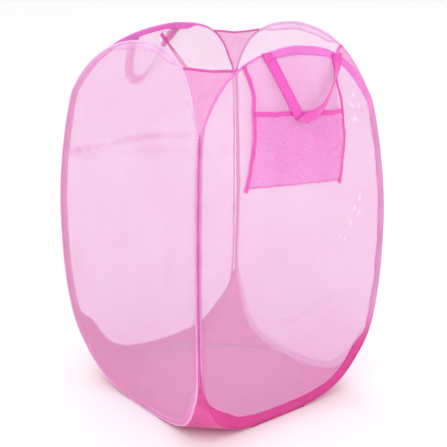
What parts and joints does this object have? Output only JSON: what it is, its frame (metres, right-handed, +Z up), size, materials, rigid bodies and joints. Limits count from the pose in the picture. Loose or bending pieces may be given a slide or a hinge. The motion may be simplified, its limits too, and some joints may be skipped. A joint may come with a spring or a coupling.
{
  "type": "mesh laundry bag",
  "caption": "Four-sided pop-up laundry bag: sprung wire hoops in tape casings hold sheer mesh walls over a nylon base, with two swinging strap handles, a front pocket and an inner elastic loop.",
  "frame": {"origin": "centre of the base panel's underside, on the floor", "axes": "+Z up along the bag's height; -Y towards the front panel with the pocket; +X towards the right panel as seen from the front"},
  "size_m": [0.3646, 0.3657, 0.5748],
  "materials": {
    "spring_steel": "bright drawn spring wire",
    "crimp_steel": "plain crimped steel tube",
    "hot_pink_tape": "hot pink woven polyester binding tape, satin",
    "pale_tape": "pale pink semi-sheer woven polyester tape",
    "sheer_mesh": "sheer lavender pink polyester mesh",
    "seam_tape": "mauve pink stitched seam allowance",
    "gusset_mesh": "denser pink polyester mesh",
    "pocket_mesh": "deep pink polyester mesh",
    "base_nylon": "solid hot pink nylon taffeta",
    "strap_webbing": "hot pink flat polyester webbing",
    "elastic_cord": "pale pink elastic"
  },
  "bodies": {
    "bag": {"front_wire": "spring_steel", "right_wire": "spring_steel", "back_wire": "spring_steel", "left_wire": "spring_steel", "crimp_sleeves": "crimp_steel", "front_casing": "hot_pink_tape", "right_casing": "pale_tape", "back_casing": "hot_pink_tape", "left_casing": "pale_tape", "front_mesh": "sheer_mesh", "right_mesh": "sheer_mesh", "back_mesh": "sheer_mesh", "left_mesh": "sheer_mesh", "front_left_seam": "seam_tape", "front_right_seam": "seam_tape", "back_right_seam": "seam_tape", "back_left_seam": "seam_tape", "front_left_top_gusset": "gusset_mesh", "front_right_top_gusset": "gusset_mesh", "back_right_top_gusset": "gusset_mesh", "back_left_top_gusset": "gusset_mesh", "front_left_top_tape": "hot_pink_tape", "front_right_top_tape": "hot_pink_tape", "back_right_top_tape": "hot_pink_tape", "back_left_top_tape": "hot_pink_tape", "base_panel": "base_nylon", "front_left_base_gusset": "base_nylon", "front_right_base_gusset": "base_nylon", "back_right_base_gusset": "base_nylon", "back_left_base_gusset": "base_nylon", "front_handle_tabs": "strap_webbing", "back_handle_tabs": "strap_webbing", "pocket_back": "gusset_mesh", "pocket_front": "pocket_mesh", "pocket_hem": "hot_pink_tape", "pocket_left_binding": "hot_pink_tape", "pocket_right_binding": "hot_pink_tape", "pocket_bottom_seam": "pocket_mesh"},
    "front_handle": {"front_handle_strap": "strap_webbing"},
    "back_handle": {"back_handle_strap": "strap_webbing"},
    "closure": {"closure_loop": "elastic_cord"}
  },
  "joints": [
    {"name": "front_handle_swing", "type": "hinge", "parent": "bag", "child": "front_handle", "pos_m": [0.023, -0.16111, 0.5499], "axis": [-0.993, 0.0028, 0.1182], "range_deg": [0, 140]},
    {"name": "back_handle_swing", "type": "hinge", "parent": "bag", "child": "back_handle", "pos_m": [-0.024, 0.13716, 0.5524], "axis": [0.9951, -0.0535, 0.0829], "range_deg": [0, 140]},
    {"name": "closure_swing", "type": "hinge", "parent": "bag", "child": "closure", "pos_m": [-0.015, 0.122, 0.553], "axis": [1, 0, 0], "range_deg": [-60, 0]}
  ]
}
